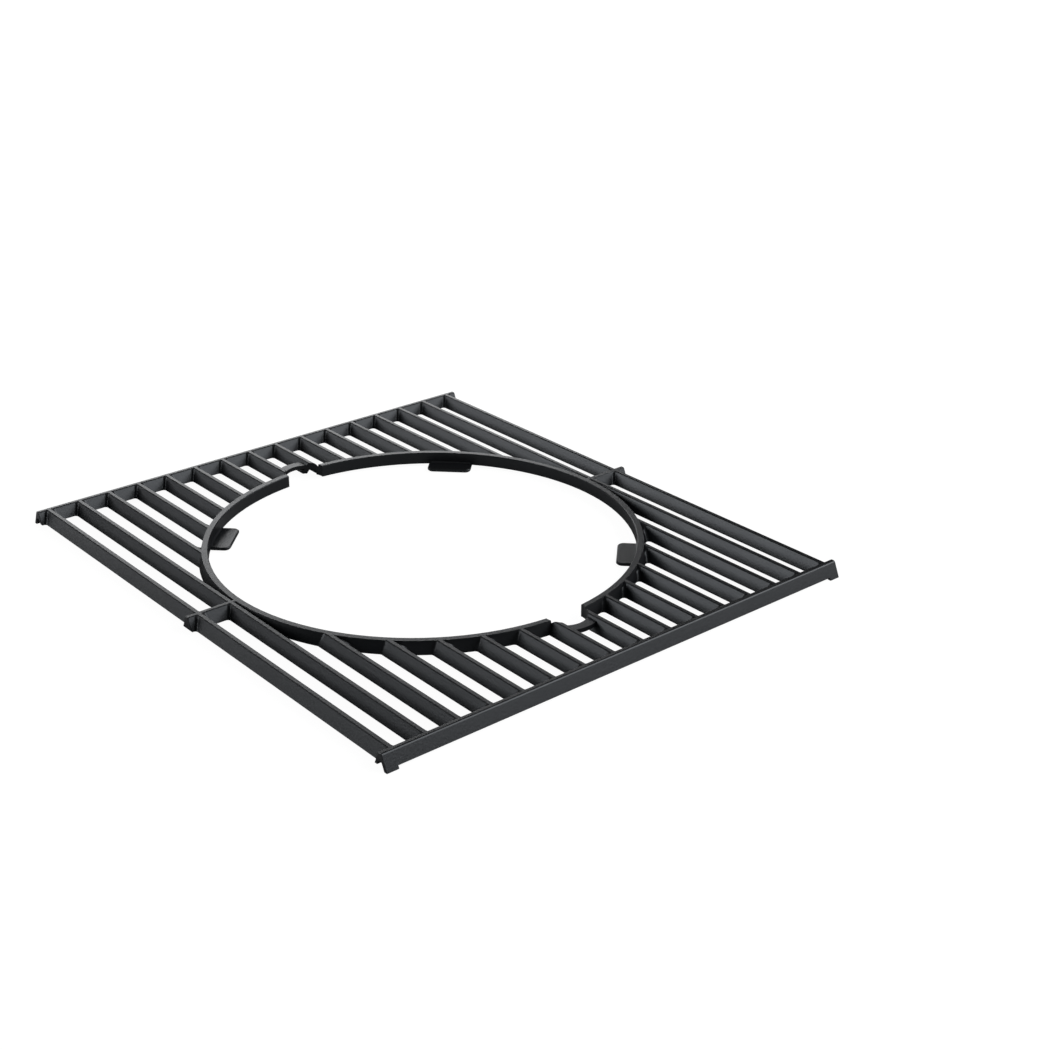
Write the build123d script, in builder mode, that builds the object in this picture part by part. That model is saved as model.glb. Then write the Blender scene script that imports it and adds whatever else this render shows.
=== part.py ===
"""Cast-iron grill grate with a round opening for a drop-in insert, one casting, in millimetres.

The bars run along Y, the two end bars along X, and Z is up. The origin is at the centre of the
round opening, on the plane that the four feet stand on.
"""
import os

from build123d import *

# Bars: one tapered section, narrow side up, hollow underneath
bar_count = 16
bar_top = 3.4
bar_base = 11.4
bar_height = 9.2
hollow_width = 5.8
hollow_roof = 2.6
hollow_depth = 3.4

# Outline: distance between the ridges of the end bars, width over their ends and the side stubs,
# and how far these stand out past the ridges of the side bars
end_bar_spacing = 432.0
grate_width = 390.0
end_overhang = 9.0

# Wall of the round opening
bore_diameter = 307.0
ring_top_wall = 4.5
ring_base_wall = 6.9

# Two tool notches in the wall, each with a low collar between the two middle bars
notch_radius = 15.5
collar_width = 7.0
collar_drop = 2.1
collar_thickness = 3.1

# Tabs that carry the insert
tab_angle = 45.0
tab_width = 34.2
tab_reach = 14.6
tab_root = 4.5
tab_thickness = 2.4
tab_drop = 8.1
tab_corner = 4.5
tab_bevel = 0.7
tab_seat_bevel = 0.8

# Feet under the outer edge of the end bars
foot_height = 2.2
foot_length = 9.0

# Slot corners and edges of the casting
slot_radius = 2.6
ridge_bevel = 0.5
tip_bevel = 0.4

bottom = foot_height
top = bottom + bar_height
tab_top = top - tab_drop
bore_radius = bore_diameter / 2
end_bar_y = end_bar_spacing / 2
side_bar_x = grate_width / 2 - end_overhang
bar_pitch = 2 * side_bar_x / (bar_count - 1)
face_slope = (bar_base - bar_top) / 2 / bar_height
shoulder = top - ridge_bevel

# The room between the feet of two bars limits the corners of a slot; beside the stubs of the cross bar,
# the room between the wall and a side bar limits them too
bar_room = bar_pitch - bar_base
wall_room = abs(side_bar_x - bar_base / 2 - bore_radius - ring_base_wall)
slot_corner = min(slot_radius, 0.25 * bar_room)
stub_corner = min(slot_corner, 0.25 * wall_room)


def spans_height(edge):
    """True for an edge that climbs a side face from the underside to the bevel of the ridge."""
    heights = sorted(vertex.Z for vertex in edge.vertices())
    return len(heights) == 2 and heights[0] < bottom + 0.01 and abs(heights[1] - shoulder) < 0.01


def beside_stub(edge):
    """True for an edge next to the cross bar."""
    return abs(edge.center().Y) < bar_base


def on_end_face(edge):
    """True for an edge that lies in the end face of an end bar or a stub."""
    return all(abs(vertex.X) > grate_width / 2 - 0.01 for vertex in edge.vertices())


def on_bore(edge):
    """True for an edge that runs round the wall of the round opening."""
    return edge.geom_type == GeomType.CIRCLE and abs(edge.radius - bore_radius) < 0.01


with BuildSketch() as solid_section:
    Polygon(
        (-bar_base / 2, bottom),
        (bar_base / 2, bottom),
        (bar_top / 2 + face_slope * ridge_bevel, shoulder),
        (bar_top / 2 - ridge_bevel, top),
        (ridge_bevel - bar_top / 2, top),
        (-bar_top / 2 - face_slope * ridge_bevel, shoulder),
        align=None,
    )

with BuildSketch() as hollow_section:
    Polygon(
        (-hollow_width / 2, bottom),
        (hollow_width / 2, bottom),
        (hollow_roof / 2, bottom + hollow_depth),
        (-hollow_roof / 2, bottom + hollow_depth),
        align=None,
    )

with BuildPart() as tab:
    with BuildSketch(Plane.XY.offset(tab_top)) as tab_plan:
        with Locations((bore_radius, 0)):
            Rectangle(2 * tab_reach, tab_width)
        fillet(tab_plan.vertices().group_by(Axis.X)[0], radius=tab_corner)
        Circle(bore_radius + tab_root, mode=Mode.INTERSECT)
    extrude(amount=-tab_thickness)
    chamfer(tab.edges().filter_by(Plane.XY).sort_by(Axis.X)[:-2], length=tab_bevel)

with BuildPart() as grate:
    # Long bars, hollow along their whole length
    with BuildSketch(Plane.XZ):
        with GridLocations(bar_pitch, 0, bar_count, 1):
            add(solid_section.sketch)
            add(hollow_section.sketch, mode=Mode.SUBTRACT)
    extrude(amount=end_bar_y, both=True)
    # End bars and, half way between them, the cross bar of which the bore leaves two side stubs
    with BuildSketch(Plane.YZ):
        with GridLocations(end_bar_spacing / 2, 0, 3, 1):
            add(solid_section.sketch)
    extrude(amount=grate_width / 2, both=True)
    # Wall of the round opening
    with BuildSketch(Plane.XZ):
        Polygon(
            (0, bottom),
            (bore_radius + ring_base_wall, bottom),
            (bore_radius + ring_top_wall, top),
            (0, top),
            align=None,
        )
    revolve(axis=Axis.Z)
    # Collars
    with BuildSketch(Plane.XY.offset(top - collar_drop)):
        with GridLocations(0, bore_diameter, 1, 2):
            Circle(notch_radius + collar_width)
        Rectangle(bar_pitch, end_bar_spacing, mode=Mode.INTERSECT)
    extrude(amount=-collar_thickness)
    # Bore and tool notches
    with BuildSketch(Plane.XY):
        Circle(bore_radius)
        with GridLocations(0, bore_diameter, 1, 2):
            Circle(notch_radius)
    extrude(amount=top, mode=Mode.SUBTRACT)
    with Locations((0, 0, shoulder)):
        Cone(
            bore_radius,
            bore_radius + ridge_bevel,
            ridge_bevel,
            align=(Align.CENTER, Align.CENTER, Align.MIN),
            mode=Mode.SUBTRACT,
        )
    # Hollows of the end bars, open at the ends
    with BuildSketch(Plane.YZ):
        with GridLocations(end_bar_spacing, 0, 2, 1):
            add(hollow_section.sketch)
    extrude(amount=grate_width / 2, both=True, mode=Mode.SUBTRACT)
    # Feet, carrying the outer face of each end bar down to the ground
    for side in (-1, 1):
        with BuildSketch(Plane.YZ.offset(side * grate_width / 2)) as foot_section:
            Polygon(
                (end_bar_y + hollow_width / 2, bottom),
                (end_bar_y + bar_base / 2, bottom),
                (end_bar_y + bar_base / 2 + face_slope * foot_height, 0),
                (end_bar_y + hollow_width / 2 + face_slope * foot_height, 0),
                align=None,
            )
            mirror(about=Plane.YZ)
        extrude(amount=-side * foot_length)
    # Rounded corners of the slots
    corners = grate.edges().filter_by(spans_height).filter_by(lambda edge: edge.is_interior)
    fillet(corners.filter_by(lambda edge: not beside_stub(edge)), radius=slot_corner)
    corners = grate.edges().filter_by(spans_height).filter_by(lambda edge: edge.is_interior)
    fillet(corners.filter_by(beside_stub), radius=stub_corner)
    # Softened ends of the end bars and stubs, and softened feet
    tip_edges = grate.edges().filter_by(on_end_face)
    foot_edges = grate.edges().group_by(Axis.Z)[0].filter_by(lambda edge: not on_end_face(edge))
    chamfer(tip_edges + foot_edges, length=tip_bevel)
    # Tabs, rooted in the wall, with a filled corner where the insert's rim comes down
    with PolarLocations(0, 4, start_angle=tab_angle):
        add(tab.part)
    seat_corners = grate.edges().filter_by(on_bore).filter_by_position(Axis.Z, tab_top - 0.01, tab_top + 0.01)
    chamfer(seat_corners, length=tab_seat_bevel)

grate.part.label = "grill_grate"

os.makedirs("parts", exist_ok=True)
export_step(grate.part, "parts/grill_grate.step")
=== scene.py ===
"""Looks of a cast-iron grill grate: semi-matt porcelain enamel on a pale floor under soft studio light."""

from math import cos, pi, radians, sin

import bpy
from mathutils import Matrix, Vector

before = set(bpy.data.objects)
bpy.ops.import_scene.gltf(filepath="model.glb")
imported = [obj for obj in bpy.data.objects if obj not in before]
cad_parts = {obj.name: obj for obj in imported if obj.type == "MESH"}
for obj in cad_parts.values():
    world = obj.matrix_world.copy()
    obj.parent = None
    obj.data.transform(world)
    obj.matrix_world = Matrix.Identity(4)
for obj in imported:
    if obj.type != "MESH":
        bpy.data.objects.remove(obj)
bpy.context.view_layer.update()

MM = 0.001

# Camera, in metres in the part's frame, and its lens for a 36 mm sensor
CAMERA_SPOT = (-0.6870, -0.9314, 0.5582)
CAMERA_TARGET = (0.0676, -0.0326, 0.0108)
CAMERA_LENS = 60.9

# Softboxes: bearing from +X towards +Y and height above the floor in degrees, distance, width and
# height in metres, and brightness, where 1 is white
SOFTBOXES = {
    "right_softbox": (318, 31, 3.0, 3.4, 1.9, 4.2),
    "left_softbox": (143, 20, 3.0, 2.2, 1.2, 4.4),
    "back_softbox": (67, 17, 3.0, 2.2, 0.9, 3.7),
    "top_softbox": (0, 88, 3.0, 1.6, 1.6, 0.5),
}
AMBIENT = 0.03

# Floor, in metres: its side, and how far from its middle it turns all white to the camera, and turns
# from the floor as it is lit to white in the enamel's reflections
FLOOR_SIZE = 30
WHITENING = (0.3, 0.9)
REFLECTED_WHITE = (0.28, 0.5)


def linear(hex_colour):
    """sRGB hex text to linear RGBA."""
    parts = [int(hex_colour[i:i + 2], 16) / 255 for i in (1, 3, 5)]
    return tuple(c / 12.92 if c <= 0.04045 else ((c + 0.055) / 1.055) ** 2.4 for c in parts) + (1.0,)


def add_node(tree, kind, settings=None, links=None):
    """Adds a node, sets its properties and input values, and links the sockets given by name or number."""
    node = tree.nodes.new(kind)
    for name, value in (settings or {}).items():
        if isinstance(name, int) or name in node.inputs:
            node.inputs[name].default_value = value
        else:
            setattr(node, name, value)
    for name, socket in (links or {}).items():
        tree.links.new(socket, node.inputs[name])
    return node


def new_material(name):
    """An empty node material, with its tree."""
    material = bpy.data.materials.new(name)
    material.use_nodes = True
    material.node_tree.nodes.clear()
    return material, material.node_tree


def porcelain_enamel():
    """Black semi-matt porcelain enamel fired over sand-cast iron."""
    material, tree = new_material("semi_matt_porcelain_enamel_on_cast_iron")
    place = add_node(tree, "ShaderNodeTexCoord").outputs["Object"]
    # Skin of the sand casting under the enamel, drawn with grains of 1.5 mm, coarser than the sand's own
    # so that they show: a faint unevenness of the sheen and of the black
    grain = add_node(tree, "ShaderNodeTexNoise", {"Scale": 1 / (1.5 * MM), "Detail": 2.0, "Roughness": 0.5},
                     {"Vector": place})
    bump = add_node(tree, "ShaderNodeBump", {"Strength": 0.4, "Distance": 0.15 * MM},
                    {"Height": grain.outputs["Fac"]})
    # Enamel runs thicker in some places, 40 mm across: slightly glossier there
    flow = add_node(tree, "ShaderNodeTexNoise", {"Scale": 1 / (40 * MM), "Detail": 1.0}, {"Vector": place})
    gloss = add_node(tree, "ShaderNodeMapRange", {"To Min": 0.33, "To Max": 0.41},
                     {"Value": flow.outputs["Fac"]})
    colour = add_node(tree, "ShaderNodeMix", {
        "data_type": "RGBA", 6: linear("#111214"), 7: linear("#161719"),
    }, {0: grain.outputs["Fac"]})
    # The sheen of the black enamel is a little cool
    shader = add_node(tree, "ShaderNodeBsdfPrincipled", {"IOR": 1.5, "Specular Tint": linear("#f2f8ff")}, {
        "Base Color": colour.outputs[2],
        "Roughness": gloss.outputs["Result"],
        "Normal": bump.outputs["Normal"],
    })
    add_node(tree, "ShaderNodeOutputMaterial", links={"Surface": shader.outputs["BSDF"]})
    return material


def studio_floor():
    """A pale floor, white to the camera and, away from the grate, in reflections; it keeps the shadow."""
    bpy.ops.mesh.primitive_plane_add(size=FLOOR_SIZE, location=(0, 0, 0))
    floor = bpy.context.object
    floor.name = "floor"
    material, tree = new_material("white_studio_floor")
    place = add_node(tree, "ShaderNodeTexCoord").outputs["Object"]
    reach = add_node(tree, "ShaderNodeVectorMath", {"operation": "LENGTH"}, {0: place}).outputs["Value"]
    # The camera sees it nearly white by itself, and all white further out; the light adds the rest
    white = add_node(tree, "ShaderNodeMapRange", {
        "From Min": WHITENING[0], "From Max": WHITENING[1], "To Min": 0.955, "To Max": 1.0,
    }, {"Value": reach})
    glow = add_node(tree, "ShaderNodeEmission", {"Color": linear("#ffffff")}, {"Strength": white.outputs[0]})
    faint = add_node(tree, "ShaderNodeBsdfDiffuse", {"Color": linear("#616161")})
    bright = add_node(tree, "ShaderNodeAddShader", links={0: faint.outputs[0], 1: glow.outputs[0]})
    # Under and beside the grate, the enamel reflects the floor as it is lit, with the shadow on it
    path = add_node(tree, "ShaderNodeLightPath")
    away = add_node(tree, "ShaderNodeMapRange", {
        "From Min": REFLECTED_WHITE[0], "From Max": REFLECTED_WHITE[1],
    }, {"Value": reach})
    mirrored = add_node(tree, "ShaderNodeMath", {"operation": "MULTIPLY"},
                        {0: path.outputs["Is Glossy Ray"], 1: away.outputs[0]})
    seen = add_node(tree, "ShaderNodeMath", {"operation": "MAXIMUM"},
                    {0: path.outputs["Is Camera Ray"], 1: path.outputs["Is Transmission Ray"]})
    seen = add_node(tree, "ShaderNodeMath", {"operation": "MAXIMUM"},
                    {0: seen.outputs[0], 1: mirrored.outputs[0]})
    matt = add_node(tree, "ShaderNodeBsdfDiffuse", {"Color": linear("#acacac")})
    both = add_node(tree, "ShaderNodeMixShader", links={
        0: seen.outputs[0], 1: matt.outputs[0], 2: bright.outputs[0],
    })
    add_node(tree, "ShaderNodeOutputMaterial", links={"Surface": both.outputs[0]})
    floor.data.materials.append(material)


def studio_light():
    """Softboxes round the grate and a dim, even room."""
    for name, (bearing, height, distance, width, tall, brightness) in SOFTBOXES.items():
        lamp = bpy.data.lights.new(name, "AREA")
        lamp.shape = "RECTANGLE"
        lamp.size = width
        lamp.size_y = tall
        lamp.energy = brightness * pi * width * tall
        box = bpy.data.objects.new(name, lamp)
        bpy.context.scene.collection.objects.link(box)
        way = Vector((cos(radians(height)) * cos(radians(bearing)),
                      cos(radians(height)) * sin(radians(bearing)),
                      sin(radians(height))))
        box.location = way * distance
        box.rotation_euler = way.to_track_quat("Z", "Y").to_euler()
    world = bpy.data.worlds.new("studio")
    bpy.context.scene.world = world
    world.use_nodes = True
    background = world.node_tree.nodes["Background"]
    background.inputs["Color"].default_value = linear("#ffffff")
    background.inputs["Strength"].default_value = AMBIENT


def camera():
    """The photo's view."""
    data = bpy.data.cameras.new("camera")
    data.lens = CAMERA_LENS
    data.sensor_width = 36
    data.clip_start = 0.01
    data.clip_end = 100
    view = bpy.data.objects.new("camera", data)
    bpy.context.scene.collection.objects.link(view)
    view.location = CAMERA_SPOT
    view.rotation_euler = (Vector(CAMERA_TARGET) - Vector(CAMERA_SPOT)).to_track_quat("-Z", "Y").to_euler()
    bpy.context.scene.camera = view


bpy.ops.object.select_all(action="DESELECT")

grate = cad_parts["grill_grate"]
grate.data.materials.clear()
grate.data.materials.append(porcelain_enamel())

studio_floor()
studio_light()
camera()
bpy.context.scene.view_settings.view_transform = "Standard"
